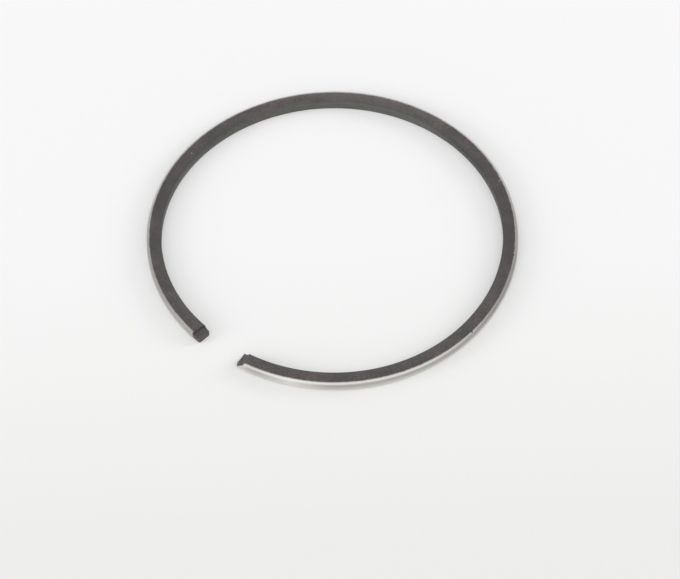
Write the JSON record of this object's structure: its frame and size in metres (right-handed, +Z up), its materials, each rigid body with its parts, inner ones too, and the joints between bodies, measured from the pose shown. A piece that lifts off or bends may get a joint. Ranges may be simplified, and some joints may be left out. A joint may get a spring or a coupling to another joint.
{
  "type": "piston ring",
  "caption": "Split piston ring lying sprung open, with a rounded bright running face, dark sides and a pin notch cut in the upper side at each end.",
  "frame": {"origin": "middle of the ring's box, on the lower side that it lies on", "axes": "+Z up through the ring, along the bore of its cylinder; -Y towards the gap between the ends; X across the ring, which is the same on both sides of X = 0"},
  "size_m": [0.0502, 0.0492, 0.0015],
  "materials": {
    "ring_iron": "dark phosphate on the sides, the inner face, the ends and the notches; bright ground metal on the running face and its rounded edges"
  },
  "bodies": {
    "root": {"piston_ring": "ring_iron"}
  },
  "joints": []
}
